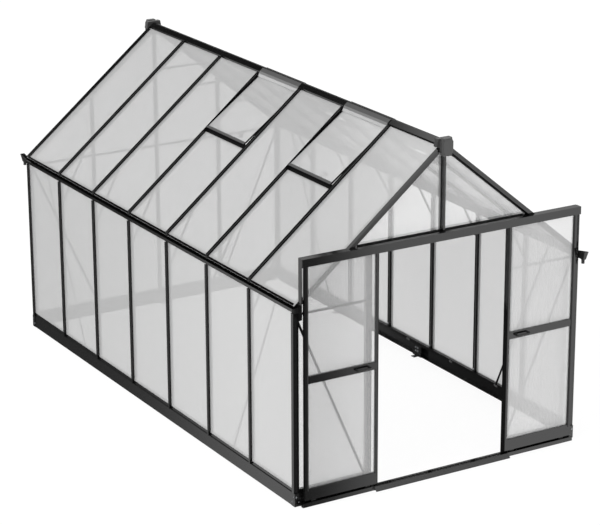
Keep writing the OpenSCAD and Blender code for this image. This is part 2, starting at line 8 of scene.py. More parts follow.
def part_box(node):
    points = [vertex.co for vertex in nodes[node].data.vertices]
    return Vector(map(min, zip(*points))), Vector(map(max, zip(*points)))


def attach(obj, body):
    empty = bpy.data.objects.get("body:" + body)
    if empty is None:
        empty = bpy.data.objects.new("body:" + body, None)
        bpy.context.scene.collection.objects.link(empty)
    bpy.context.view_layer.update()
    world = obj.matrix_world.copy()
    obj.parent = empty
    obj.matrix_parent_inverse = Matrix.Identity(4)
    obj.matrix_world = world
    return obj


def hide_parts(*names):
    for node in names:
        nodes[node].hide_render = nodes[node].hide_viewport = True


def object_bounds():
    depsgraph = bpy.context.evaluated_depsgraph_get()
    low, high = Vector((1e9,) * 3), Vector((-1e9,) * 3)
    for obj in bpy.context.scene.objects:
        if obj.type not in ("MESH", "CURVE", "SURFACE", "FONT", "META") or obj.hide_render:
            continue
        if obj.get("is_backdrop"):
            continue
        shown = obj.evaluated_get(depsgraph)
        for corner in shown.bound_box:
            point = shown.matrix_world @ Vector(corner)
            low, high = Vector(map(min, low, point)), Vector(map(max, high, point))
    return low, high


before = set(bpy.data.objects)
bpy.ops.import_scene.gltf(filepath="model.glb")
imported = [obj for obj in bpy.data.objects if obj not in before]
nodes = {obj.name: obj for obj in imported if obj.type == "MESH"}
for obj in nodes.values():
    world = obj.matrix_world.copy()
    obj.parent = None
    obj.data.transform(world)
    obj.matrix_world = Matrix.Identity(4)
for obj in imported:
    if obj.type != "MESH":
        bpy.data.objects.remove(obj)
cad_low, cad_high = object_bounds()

# ---------------------------------------------------------------- steel base frame
# Rolled steel channels, 2 mm thick, bolted together through folded corner sleeves and
# splice plates, and powder coated near black over the pressed metal: an even satin skin
# with a fine pebbled grain and no brush marks.

STEEL_LOW, STEEL_HIGH = "#0d0d0d", "#121212"
STEEL_ROUGH = 0.10


def srgb(code):
    """An sRGB hex colour as the linear values that the shaders take."""
    parts = [int(code[i:i + 2], 16) / 255 for i in (1, 3, 5)]
    line = [c / 12.92 if c <= 0.04045 else ((c + 0.055) / 1.055) ** 2.4 for c in parts]
    return (*line, 1.0)


def add(tree, kind, sockets=None, **settings):
    """Adds one shader node: its settings by attribute, its sockets by value or link."""
    n = tree.nodes.new("ShaderNode" + kind)
    for key, value in settings.items():
        setattr(n, key, value)
    for key, value in (sockets or {}).items():
        if isinstance(value, bpy.types.NodeSocket):
            tree.links.new(value, n.inputs[key])
        else:
            n.inputs[key].default_value = value
    return n


def new_material(name):
    """A material and its emptied tree."""
    material = bpy.data.materials.new(name)
    material.use_nodes = True
    material.node_tree.nodes.clear()
    return material, material.node_tree


def powder_coat(name, low, high, smooth, grain_mm=2.4):
    """Satin powder coat: dark with a soft sheen that breaks up slightly. The grain is about
    0.4 mm on the real skin and is drawn coarser here so that it shows. The tone drifts over
    a third of a metre, as a sprayed coat does."""
    material, tree = new_material(name)
    place = add(tree, "TexCoord").outputs["Object"]
    cloud = add(tree, "TexNoise", {"Vector": place, "Scale": 1000 / 333, "Detail": 3.0})
    grain = add(tree, "TexNoise", {"Vector": place, "Scale": 1000 / grain_mm, "Detail": 1.0})
    tone = add(tree, "Mix", {0: cloud.outputs["Fac"], 6: srgb(low), 7: srgb(high)}, data_type="RGBA")
    rough = add(tree, "MapRange", {
        "Value": grain.outputs["Fac"], "From Min": 0.3, "From Max": 0.7,
        "To Min": smooth - 0.01, "To Max": smooth + 0.015})
    bump = add(tree, "Bump", {"Height": grain.outputs["Fac"], "Strength": 0.12, "Distance": 0.00008})
    skin = add(tree, "BsdfPrincipled", {
        "Base Color": tone.outputs[2], "Roughness": rough.outputs[0], "IOR": 1.58,
        "Normal": bump.outputs[0]})
    add(tree, "OutputMaterial", {"Surface": skin.outputs[0]})
    return material


def dress(material, *names):
    """Gives CAD nodes their material."""
    for name in names:
        for place in nodes[name].material_slots:
            place.material = material


coated_steel = powder_coat("powder_coated_steel", STEEL_LOW, STEEL_HIGH, STEEL_ROUGH)
dress(coated_steel, "base_rails", "base_corners", "base_splices", "rail_end_struts")

# Zinc-plated screws: bright, pale grey, a little cloudy from the passivation, in spots
# of about 6 mm.
ZINC_LOW, ZINC_HIGH = srgb("#9a9da0"), srgb("#c4c6c8")
zinc, zinc_tree = new_material("zinc_plated_steel")
zinc_place = add(zinc_tree, "TexCoord").outputs["Object"]
zinc_cloud = add(zinc_tree, "TexNoise", {"Vector": zinc_place, "Scale": 1000 / 6.25, "Detail": 3.0})
zinc_tone = add(zinc_tree, "Mix", {0: zinc_cloud.outputs["Fac"], 6: ZINC_LOW, 7: ZINC_HIGH},
                data_type="RGBA")
zinc_rough = add(zinc_tree, "MapRange", {
    "Value": zinc_cloud.outputs["Fac"], "To Min": 0.22, "To Max": 0.42})
zinc_skin = add(zinc_tree, "BsdfPrincipled", {
    "Base Color": zinc_tone.outputs[2], "Roughness": zinc_rough.outputs[0], "Metallic": 1.0})
add(zinc_tree, "OutputMaterial", {"Surface": zinc_skin.outputs[0]})

# A washer is 0.85 of the head's width in radius. The head's own corners stand at 0.577 of
# the width across its flats.
WASHER_MM = 1.2
WASHER_SHARE = 0.85
CORNER_SHARE = 0.577


def hex_bolt(bm, at, along, across=10.0, tall=5.0):
    """A hexagon head on its washer, sizes in mm, pointing along from a face at a place."""
    turn = Matrix.Translation(at) @ Vector(along).to_track_quat("Z", "Y").to_matrix().to_4x4()
    for sides, wide, foot, top in ((20, across * WASHER_SHARE, 0.0, WASHER_MM),
                                   (6, across * CORNER_SHARE, WASHER_MM, tall)):
        made = bmesh.ops.create_cone(bm, cap_ends=True, segments=sides, radius1=wide / 1000,
                                     radius2=wide * 0.95 / 1000, depth=(top - foot) / 1000)["verts"]
        bmesh.ops.transform(bm, matrix=turn @ Matrix.Translation((0, 0, (foot + top) / 2000)), verts=made)


def piece(name, bm, material, body="house"):
    """Makes a mesh a finished piece at the origin, hung on its CAD body."""
    bmesh.ops.recalc_face_normals(bm, faces=bm.faces)
    mesh = bpy.data.meshes.new(name)
    bm.to_mesh(mesh)
    bm.free()
    mesh.materials.append(material)
    made = bpy.data.objects.new(name, mesh)
    bpy.context.scene.collection.objects.link(made)
    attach(made, body)
    return made


def solids(node):
    """The corners, in metres, of each separate solid of a CAD node, in a steady order."""
    bm = bmesh.new()
    bm.from_mesh(nodes[node].data)
    bmesh.ops.remove_doubles(bm, verts=bm.verts, dist=0.00001)
    met = set()
    for first in bm.verts:
        if first in met:
            continue
        met.add(first)
        reach = [first]
        group = []
        while reach:
            vert = reach.pop()
            group.append(vert.co.copy())
            for edge in vert.link_edges:
                other = edge.other_vert(vert)
                if other not in met:
                    met.add(other)
                    reach.append(other)
        yield group
    bm.free()


def corners(group):
    """The low and the high corner of the box round some points."""
    return (Vector([min(p[i] for p in group) for i in range(3)]),
            Vector([max(p[i] for p in group) for i in range(3)]))


# Four bolts through each splice plate, seen from inside, and one that pegs its ground tab.
# Two bolts on each outer face of a corner sleeve. All in metres.
PLATE = 0.003
SPLICE_BOLTS = ((-0.014, 0.044), (0.014, 0.044), (-0.014, 0.072), (0.014, 0.072))
CORNER_BOLTS = ((0.012, 0.070), (0.034, 0.030))
TAB_BOLT_IN = 0.015
bm = bmesh.new()
for group in solids("base_splices"):
    near, far = corners(group)
    middle = (near + far) / 2
    across = 0 if abs(middle.x) > 1 else 1
    out = 1 if middle[across] > 0 else -1
    plate = out * (max(abs(near[across]), abs(far[across])) - PLATE)
    inward = Vector((0, 0, 0))
    inward[across] = -out
    for slide, level in SPLICE_BOLTS:
        at = middle.copy()
        at[across] = plate
        at[1 - across] += slide
        at.z = level
        hex_bolt(bm, at, inward)
    tab = middle.copy()
    tab[across] = out * (min(abs(near[across]), abs(far[across])) + TAB_BOLT_IN)
    tab.z = PLATE
    hex_bolt(bm, tab, (0, 0, 1), across=13.0, tall=7.0)
for group in solids("base_corners"):
    near, far = corners(group)
    sx = 1 if far.x > 0 else -1
    sy = 1 if far.y > 0 else -1
    face_x = max(abs(near.x), abs(far.x))
    face_y = max(abs(near.y), abs(far.y))
    for back, level in CORNER_BOLTS:
        hex_bolt(bm, (sx * (face_x - back), sy * face_y, level), (0, sy, 0), across=8.0, tall=4.0)
        hex_bolt(bm, (sx * face_x, sy * (face_y - back), level), (sx, 0, 0), across=8.0, tall=4.0)
piece("base_bolts", bm, zinc)

# ---------------------------------------------------------------- wall posts, bars and sills
# Extruded aluminium glazing bars, posts and sill profiles, cut to length and powder
# coated in the same near black. Their sheen is a little sharper than the steel's,
# because the extruded metal under the coat is flatter.

ALU_LOW, ALU_HIGH = "#0c0c0c", "#111111"
ALU_ROUGH = 0.075
coated_alu = powder_coat("powder_coated_aluminium", ALU_LOW, ALU_HIGH, ALU_ROUGH, grain_mm=1.8)
dress(coated_alu, "sill_rails", "corner_posts", "left_wall_bars", "right_wall_bars")

HALF_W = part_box("sill_rails")[1].x * 1000
HALF_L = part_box("sill_rails")[1].y * 1000
SILL_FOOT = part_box("sill_rails")[0].z * 1000
SILL_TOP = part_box("sill_rails")[1].z * 1000
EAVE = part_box("corner_posts")[1].z * 1000
PITCH = 610
BAYS = 7
BAY_YS = [(k - 3) * PITCH for k in range(BAYS)]
BAR_YS = [y + PITCH / 2 for y in BAY_YS[:-1]]
BAR_DEEP = 30
RIB_WIDE, RIB_TALL = 16, 15
EASE = 0.4


def mm(x, y, z):
    """A place given in millimetres, in metres."""
    return Vector((x, y, z)) / 1000


def edges_of(verts):
    """The edges that meet some vertices, each once and in a steady order."""
    return list(dict.fromkeys(e for v in verts for e in v.link_edges))


def slab(bm, corner, opposite, round_mm=0.8, place=None):
    """A block between two opposite corners in mm with its edges rounded. A matrix given as
    place carries it from there."""
    low = Vector([min(pair) for pair in zip(corner, opposite)])
    high = Vector([max(pair) for pair in zip(corner, opposite)])
    size = high - low
    made = bmesh.ops.create_cube(bm, size=1.0)["verts"]
    bmesh.ops.scale(bm, vec=size / 1000, verts=made)
    bmesh.ops.translate(bm, vec=(low + size / 2) / 1000, verts=made)
    out = bmesh.ops.bevel(bm, geom=edges_of(made), offset=round_mm / 1000, segments=2, profile=0.5,
                          affect="EDGES", material=-1)
    if place is not None:
        bmesh.ops.transform(bm, matrix=place, verts=out["verts"])
    return out["verts"]


# Each bar's outer rib runs down over the sill.
bm = bmesh.new()
for side in (-1, 1):
    for y in BAR_YS:
        slab(bm, (side * (HALF_W + 0.1), y - RIB_WIDE / 2, SILL_FOOT + EASE),
             (side * (HALF_W + RIB_TALL), y + RIB_WIDE / 2, SILL_TOP + EASE), 0.6)
piece("wall_bar_feet", bm, coated_alu)

# A flat cover strip closes the sheets' edges down each corner post.
COVER_WIDE, COVER_PROUD = 30, 10
bm = bmesh.new()
for sx in (-1, 1):
    for sy in (-1, 1):
        slab(bm, (sx * (HALF_W + 0.2), sy * (HALF_L - COVER_WIDE), SILL_FOOT + EASE),
             (sx * (HALF_W + COVER_PROUD), sy * (HALF_L - 0.3), EAVE - 0.6), 0.6)
piece("corner_cover_strips", bm, coated_alu)

# A bolt holds each bar and post at its head and foot, on the inside.
BAR_BOLTS = (SILL_TOP + 24, EAVE - 26)
POST_BOLTS = (SILL_TOP + 20, EAVE - 22)
POST_MIDDLE, POST_BACK = 17, 43
bm = bmesh.new()
for side in (-1, 1):
    for y in BAR_YS:
        for z in BAR_BOLTS:
            hex_bolt(bm, mm(side * (HALF_W - BAR_DEEP), y, z), (-side, 0, 0))
for sy in (1, -1):
    for sx in (1, -1):
        for z in POST_BOLTS:
            hex_bolt(bm, mm(sx * (HALF_W - POST_MIDDLE), sy * (HALF_L - POST_BACK), z), (0, -sy, 0))
piece("wall_bolts", bm, zinc)

# ---------------------------------------------------------------- sheet clips
# Small clips moulded in grey nylon, snapped over the inner edge of the sill at mid-bay,
# where they grip the sheets' feet.


def moulded_plastic(name, low, high, rough, grain_mm=1.5):
    """Moulded plastic: an even tone and a dull, broad highlight from the mould's fine
    spark-eroded grain, which is drawn coarser than the real 0.2 mm so that it shows."""
    material, tree = new_material(name)
    place = add(tree, "TexCoord").outputs["Object"]
    cloud = add(tree, "TexNoise", {"Vector": place, "Scale": 1000 / 70, "Detail": 2.0})
    grain = add(tree, "TexNoise", {"Vector": place, "Scale": 1000 / grain_mm, "Detail": 2.0})
    tone = add(tree, "Mix", {0: cloud.outputs["Fac"], 6: srgb(low), 7: srgb(high)}, data_type="RGBA")
    bump = add(tree, "Bump", {"Height": grain.outputs["Fac"], "Strength": 0.3, "Distance": 0.0001})
    skin = add(tree, "BsdfPrincipled", {
        "Base Color": tone.outputs[2], "Roughness": rough, "IOR": 1.53, "Normal": bump.outputs[0]})
    add(tree, "OutputMaterial", {"Surface": skin.outputs[0]})
    return material


# Grey nylon, so that the clips stand out from the black sill.
grey_nylon = moulded_plastic("moulded_grey_nylon", "#404040", "#4a4a4a", 0.32)

CLIP_WIDE, CLIP_THICK = 40, 4.8
CLIP_FOOT, CLIP_TOP = SILL_FOOT + 2, SILL_FOOT + 17
SILL_INNER = BAR_DEEP + 0.2
THUMB_WIDE, THUMB_IN, THUMB_OUT = 18, 39, 34
GABLE_PITCH = 592
bm = bmesh.new()
for side in (-1, 1):
    for y in BAY_YS:
        slab(bm, (side * (HALF_W - SILL_INNER - CLIP_THICK), y - CLIP_WIDE / 2, CLIP_FOOT),
             (side * (HALF_W - SILL_INNER), y + CLIP_WIDE / 2, CLIP_TOP))
        slab(bm, (side * (HALF_W - THUMB_IN), y - THUMB_WIDE / 2, CLIP_FOOT + 2),
             (side * (HALF_W - THUMB_OUT), y + THUMB_WIDE / 2, CLIP_FOOT + 8))
for k in range(4):
    x = (k - 1.5) * GABLE_PITCH
    slab(bm, (x - CLIP_WIDE / 2, HALF_L - SILL_INNER - CLIP_THICK, CLIP_FOOT),
         (x + CLIP_WIDE / 2, HALF_L - SILL_INNER, CLIP_TOP))
piece("sheet_clips", bm, grey_nylon)

# ---------------------------------------------------------------- gutters and outlets
# One long coated extrusion on each side, a trough with a sloping lip, closed by end pieces
# moulded in black nylon. Two opposite corners have an open outlet head there, with a
# round spigot for the downpipe.

dress(coated_alu, "left_gutter", "right_gutter")

# Black nylon: a shade paler and much duller than the coated metal beside it.
moulded = moulded_plastic("moulded_nylon", "#141414", "#1c1c1c", 0.3)


def profile(bm, outline, start, end, place):
    """A closed outline in mm, pushed from start to end. place turns (a, b, along) to metres."""
    foot = [bm.verts.new(place(a, b, start)) for a, b in outline]
    grown = bmesh.ops.extrude_face_region(bm, geom=[bm.faces.new(foot)])
    top = [v for v in grown["geom"] if isinstance(v, bmesh.types.BMVert)]
    bmesh.ops.translate(bm, verts=top, vec=place(0, 0, end) - place(0, 0, start))
    return foot + top


def soften(bm, verts, round_mm, segments=2):
    """Rounds the edges among some vertices of one shape."""
    chosen = set(verts)
    edges = [e for e in edges_of(verts) if chosen.issuperset(e.verts)]
    bmesh.ops.bevel(bm, geom=edges, offset=round_mm / 1000, segments=segments, profile=0.5,
                    affect="EDGES", material=-1)


def faces_of(verts):
    """The faces that meet some vertices, each once and in a steady order."""
    return list(dict.fromkeys(f for v in verts for f in v.link_faces))


# The end plate's outline, out from the wall and up from the eave, and the raised panel on
# a plain end. The hopper's walls lean outwards, so each is given at its foot and its rim.
END_PLATE = ((-31, -2), (2, -2), (17, 9), (19.2, 21), (19.2, 34.6), (-31, 34.6))
END_PANEL = [(a * 0.86 - 1, b * 0.86 + 2) for a, b in END_PLATE]
PLATE_THICK = 3.0
HOPPER_INNER, HOPPER_OUTER, HOPPER_LONG = (-21, -23), (2, 13), (97, 112)
HOPPER_BACK, HOPPER_FOOT, HOPPER_RIM_NEAR, HOPPER_RIM_FAR = 2.6, -3, 38, 57
HOPPER_WALL, SPIGOT_WALL, COLLAR_WALL = 0.0026, 0.0024, 0.001
SPIGOT_OUT, SPIGOT_ALONG, SPIGOT_TOP = -12, 82, -2
SPIGOT_RADIUS, SPIGOT_LONG = 12, 31
COLLAR_RADIUS, COLLAR_LONG = 13.4, 7
bm = bmesh.new()
for sx in (-1, 1):
    for sy in (-1, 1):
        def at_end(a, b, along, sx=sx, sy=sy):
            return mm(sx * (HALF_W + a), sy * (HALF_L + 0.3 + along), EAVE + b)

        soften(bm, profile(bm, END_PLATE, 0.0, PLATE_THICK, at_end), 0.8)
        if sx * sy > 0:
            soften(bm, profile(bm, END_PANEL, 2.8, 4.4, at_end), 0.5)
            continue
        mouth = bmesh.ops.create_cube(bm, size=1.0)["verts"]
        for v in mouth:
            top = v.co.z > 0
            far_end = v.co.y > 0
            a = (HOPPER_OUTER if v.co.x > 0 else HOPPER_INNER)[top]
            rim = HOPPER_RIM_FAR if far_end else HOPPER_RIM_NEAR
            along = HOPPER_LONG[top] if far_end else HOPPER_BACK
            v.co = at_end(a, rim if top else HOPPER_FOOT, along)
        half_up = (EAVE + HOPPER_RIM_NEAR / 2) / 1000
        lid = [f for f in faces_of(mouth) if all(v.co.z > half_up for v in f.verts)]
        bmesh.ops.delete(bm, geom=lid, context="FACES_ONLY")
        bmesh.ops.recalc_face_normals(bm, faces=faces_of(mouth))
        bmesh.ops.solidify(bm, geom=faces_of(mouth), thickness=HOPPER_WALL)
        for radius, length, wall in ((SPIGOT_RADIUS, SPIGOT_LONG, SPIGOT_WALL),
                                     (COLLAR_RADIUS, COLLAR_LONG, COLLAR_WALL)):
            ring = bmesh.ops.create_cone(bm, cap_ends=False, segments=32, radius1=radius / 1000,
                                         radius2=radius / 1000, depth=length / 1000)["verts"]
            middle = at_end(SPIGOT_OUT, SPIGOT_TOP - length / 2, SPIGOT_ALONG)
            bmesh.ops.translate(bm, vec=middle, verts=ring)
            bmesh.ops.solidify(bm, geom=faces_of(ring), thickness=wall)
gutter_mouldings = piece("gutter_outlets_and_ends", bm, moulded)
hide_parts("gutter_ends")

# ---------------------------------------------------------------- roof frame and ridge
# Rafters at the gables, glazing bars between them, and a ridge box with a peaked
# capping, all aluminium extrusions coated alike and bolted at ridge and eaves. Moulded
# nylon caps with an eight-sided boss close the ridge's ends.

dress(coated_alu, "gable_rafters", "left_roof_bars", "right_roof_bars", "ridge_beam")

# The roof's planes meet 35 mm under the top of the caps, and pass the walls 60.3 mm over
# the posts.
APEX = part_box("ridge_caps")[1].z * 1000 - 35
ROOF_OVER_POST = 60.3
SLOPE = math.atan2(APEX - EAVE - ROOF_OVER_POST, HALF_W)
COS, SIN = math.cos(SLOPE), math.sin(SLOPE)
REACH = HALF_W / COS


def slope_frame(side):
    """Carries (down the slope, along the ridge, off the roof) to the building's own axes."""
    return Matrix(((side * COS, 0, side * SIN, 0), (0, 1, 0, 0), (-SIN, 0, COS, APEX / 1000), (0, 0, 0, 1)))


# A moulded stop closes each bar's rib over the gutter, with a wider foot under it.
STOP_HALF, STOP_TOP = 9, 16.4
FOOT_HALF, FOOT_DEEP = 13, 20
bm = bmesh.new()
for side in (-1, 1):
    for y in BAR_YS:
        slab(bm, (REACH - 14, y - STOP_HALF, -1), (REACH - 2, y + STOP_HALF, STOP_TOP), 1.0,
             slope_frame(side))
        slab(bm, (REACH - 4, y - FOOT_HALF, -FOOT_DEEP), (REACH + 12, y + FOOT_HALF, 1), 1.0,
             slope_frame(side))
piece("roof_bar_stops", bm, moulded)

# Between the stops, coated U strips close the open feet of the sheets.
STRIP_GAP, STRIP_UP, STRIP_DOWN = 14, 10, 6
STRIP_FOOT, STRIP_TOP = -8.2, -1.2
strip_starts = [y + STRIP_GAP for y in (-HALF_L, *BAR_YS)]
strip_ends = [y - STRIP_GAP for y in (*BAR_YS, HALF_L)]
bm = bmesh.new()
for side in (-1, 1):
    for y0, y1 in zip(strip_starts, strip_ends):
        slab(bm, (REACH - STRIP_UP, y0, STRIP_FOOT), (REACH + STRIP_DOWN, y1, STRIP_TOP), 0.6,
             slope_frame(side))
piece("sheet_foot_strips", bm, coated_alu)

# A coated cover strip laps from the back verge over the sheets.
VERGE_LAP, VERGE_OUT, VERGE_PROUD = 36, 10, 3.0
bm = bmesh.new()
for side in (-1, 1):
    slab(bm, (60, HALF_L - VERGE_LAP, -2.2), (REACH + 1, HALF_L + VERGE_OUT, VERGE_PROUD), 0.8,
         slope_frame(side))
piece("back_verge_strips", bm, coated_alu)

# Ridge ends: a saddle over the capping, a plate on the gable and a proud eight-sided boss
# with a raised panel. Their nylon is drawn greyer than the gutters', a painted highlight
# for the light on the caps, and glossier, so that the bevelled edges catch the light.
cap_nylon = moulded_plastic("moulded_cap_nylon", "#3b3b3b", "#444444", 0.16)
HOOD = ((-58, 21), (58, 21), (68, -36), (64, -39.8), (8, 6.2), (-8, 6.2), (-64, -39.8), (-68, -36))
CAP_PLATE = ((-58, 21), (58, 21), (69.5, -34), (49, -45), (-49, -45), (-69.5, -34))
BOSS = ((-46, -68), (-32, -100), (32, -100), (46, -68), (46, 0), (32, 26), (-32, 26), (-46, 0))
BOSS_PANEL = [(a * 0.8, (b + 32) * 0.86 - 32) for a, b in BOSS]
bm = bmesh.new()
for sy in (-1, 1):
    def on_gable(a, b, along, sy=sy):
        return mm(a, sy * (HALF_L + along), APEX + b)

    soften(bm, profile(bm, HOOD, -16, 1, on_gable), 1.5)
    soften(bm, profile(bm, CAP_PLATE, 0.4, 24, on_gable), 2.0)
    soften(bm, profile(bm, BOSS, 23, 59.5, on_gable), 2.5, 3)
    soften(bm, profile(bm, BOSS_PANEL, 59, 61.6, on_gable), 0.8)
ridge_ends = piece("ridge_end_caps", bm, cap_nylon)
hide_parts("ridge_caps")

# ---------------------------------------------------------------- gables
# Coated aluminium extrusions again: three glazing bars at the back, and jambs, a header
# and a king post round the doorway at the front. Rubber strips pushed into their slots
# press the front sheets home, under the verges and over the door rail.

dress(coated_alu, "back_gable_bars", "door_jambs", "door_header", "king_post")

# Extruded rubber: the blackest part, and matt, so that it reads as a shadow line.
rubber = moulded_plastic("black_rubber", "#060606", "#0b0b0b", 0.55)

# The level strips run out from the king post, and the sloping ones down from the ridge.
RAIL_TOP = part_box("door_rail")[1].z * 1000
STRIP_FRONT, STRIP_BACK = -HALF_L - 1.6, -HALF_L + 2.2
LEVEL_FROM, LEVEL_TO = 9, 688
VERGE_FROM, VERGE_TO = 70, 925
bm = bmesh.new()
for side in (-1, 1):
    slab(bm, (side * LEVEL_FROM, STRIP_FRONT, RAIL_TOP + 0.6),
         (side * LEVEL_TO, STRIP_BACK, RAIL_TOP + 10), 0.6)
    slab(bm, (VERGE_FROM, STRIP_FRONT, -45.5), (VERGE_TO, STRIP_BACK, -34.5), 0.6, slope_frame(side))
piece("gable_glazing_strips", bm, rubber)

# ---------------------------------------------------------------- bracing
# Flat strips cut from coated aluminium bar, punched near both ends and bolted across the
# frame, where they keep it from racking. Their bolts are coated with them.

BRACE_NODES = ("gable_ties", "diagonal_braces", "knee_braces", "collar_ties")
dress(coated_alu, *BRACE_NODES)

# In metres: the thickest solid that counts as flat, how far from its last corner an end
# reaches, and how far in its bolt sits.
FLAT_MOST = 0.006
END_REACH = 0.03
BOLT_IN = 0.012
bm = bmesh.new()
for node in BRACE_NODES:
    for group in solids(node):
        centre = sum(group, Vector((0, 0, 0))) / len(group)
        far_one = max(group, key=lambda p: (p - centre).length)
        far_two = max(group, key=lambda p: (p - far_one).length)
        near, far = corners(group)
        thin = min(range(3), key=lambda i: far[i] - near[i])
        if far[thin] - near[thin] > FLAT_MOST:
            continue
        inward = Vector((0, 0, 0))
        inward[thin] = -1 if centre[thin] > 0 else 1
        run = (far_two - far_one).normalized()
        for end, step in ((far_one, 1), (far_two, -1)):
            tip = [p for p in group if (p - end).length < END_REACH]
            at = sum(tip, Vector((0, 0, 0))) / len(tip) + run * step * BOLT_IN
            at[thin] = near[thin] if inward[thin] < 0 else far[thin]
            hex_bolt(bm, at, inward, across=9.0, tall=4.5)
piece("brace_bolts", bm, coated_alu)

# ---------------------------------------------------------------- door rail and track
# Three coated extrusions: the roller channel over the doorway, screwed to the header and
# stayed at its ends, the grooved bottom track on the base, and a sloping tread before it.

dress(coated_alu, "door_rail", "bottom_track", "threshold")

# Low ribs along the tread keep a boot from slipping, four at 6 mm.
TREAD_RISE, TREAD_RUN, TREAD_OUT = 28.5, 28, 85
RIBS, RIB_STEP, RIB_HALF, RIB_END = 4, 6, 0.9, 6
tread_low, tread_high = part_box("threshold")
tilt = math.atan2(TREAD_RISE, TREAD_RUN)
bm = bmesh.new()
for k in range(RIBS):
    y = -HALF_L - TREAD_OUT + 5 + k * RIB_STEP
    z = (y + HALF_L + TREAD_OUT) * TREAD_RISE / TREAD_RUN
    rib = slab(bm, (tread_low.x * 1000 + RIB_END, -RIB_HALF, -0.6),
               (tread_high.x * 1000 - RIB_END, RIB_HALF, 0.9), 0.3)
    laid = Matrix.Translation(mm(0, y, z)) @ Matrix.Rotation(tilt, 4, "X")
    bmesh.ops.transform(bm, matrix=laid, verts=rib)
piece("tread_ribs", bm, coated_alu)

# ---------------------------------------------------------------- roof vents
# Four flaps let in between the bars, hooked under the ridge capping and propped a little
# open. Their curbs and sash frames are coated extrusions, and their stays and knobs are
# moulded in the same black nylon as the gutter ends.

dress(coated_alu, "vent_curbs", "vent_sashes")
dress(moulded, "vent_stays")

# Extruded weather strips: one over the hinge, one sloping down to the pane, and one on the
# foot of the sash where rain runs off. Their dull grey skins show as pale lines between
# the dark frame parts. The sloping one is drawn paler still, a painted sheen where its
# face would catch the bright ceiling.
VENT_YS = (0, -2 * PITCH)
VENT_LONG, VENT_HALF, SASH_HALF = 590, 288, 286
AJAR = math.radians(-3)
HINGE_DOWN, HINGE_DEEP = 41 / COS + 1, 15
HINGE_STRIP = ((9.5, 14.5), (9.5, 15.7), (43.5, 15.7), (43.5, 14.5))
HEAD_STRIP = ((43.8, 14.3), (43.8, 15.5), (62, 7.7), (62, 6.5))
strip_grey = moulded_plastic("grey_weather_strip", "#3e3e3e", "#454545", 0.4)
# The sloping strip's paler tone is a painted sheen, not a colour of its own.
strip_painted_sheen = moulded_plastic("weather_strip_painted_sheen", "#6c6c6c", "#757575", 0.45)
SASH_LONG = VENT_LONG + 60 - HINGE_DOWN
for name, outline, finish in (("vent_hinge_strips", HINGE_STRIP, strip_grey),
                              ("vent_head_strips", HEAD_STRIP, strip_painted_sheen)):
    bm = bmesh.new()
    for side in (-1, 1):
        for y in VENT_YS:
            def on_roof(a, b, along, side=side):
                return slope_frame(side) @ mm(a, along, b)

            soften(bm, profile(bm, outline, y - VENT_HALF, y + VENT_HALF, on_roof), 0.3, 1)
    piece(name, bm, finish)
bm = bmesh.new()
for side in (-1, 1):
    for y in VENT_YS:
        hinge = Matrix.Translation(mm(HINGE_DOWN, y, -HINGE_DEEP))
        swung = slope_frame(side) @ hinge @ Matrix.Rotation(AJAR, 4, "Y")
        slab(bm, (SASH_LONG - 21, -SASH_HALF, 9.1), (SASH_LONG - 1, SASH_HALF, 10.2), 0.4, swung)
piece("vent_foot_strips", bm, strip_grey)

# A knob with six lobes sits over the end of each stay. Its sizes are in metres.
KNOB_RADIUS, KNOB_TALL, KNOB_IN, KNOB_UP = 0.0185, 0.028, 0.015, 0.0125
LOBES = 6
HOLLOW = 0.86
bm = bmesh.new()
for group in solids("vent_stays"):
    near, far = corners(group)
    side = 1 if far.x > 0 else -1
    inner = min(abs(near.x), abs(far.x))
    at = Vector((side * (inner + KNOB_IN), (near.y + far.y) / 2, near.z + KNOB_UP))
    knob = bmesh.ops.create_cone(bm, cap_ends=True, segments=2 * LOBES, radius1=KNOB_RADIUS,
                                 radius2=KNOB_RADIUS, depth=KNOB_TALL)["verts"]
    for v in knob:
        if round(math.atan2(v.co.y, v.co.x) * LOBES / math.pi) % 2:
            v.co.xy *= HOLLOW
    bmesh.ops.translate(bm, vec=at, verts=knob)
    soften(bm, knob, 2.2, 3)
piece("vent_knobs", bm, moulded)

# ---------------------------------------------------------------- sliding doors
# Two framed leaves of coated extrusion with a middle rail and a kick plate. They hang on
# nylon wheels from the lips of the rail, run between guides in the bottom track, and are
# pulled by bow handles screwed to the middle rail.

dress(coated_alu, "left_door_frame", "right_door_frame")
dress(moulded, "left_door_rollers", "right_door_rollers")

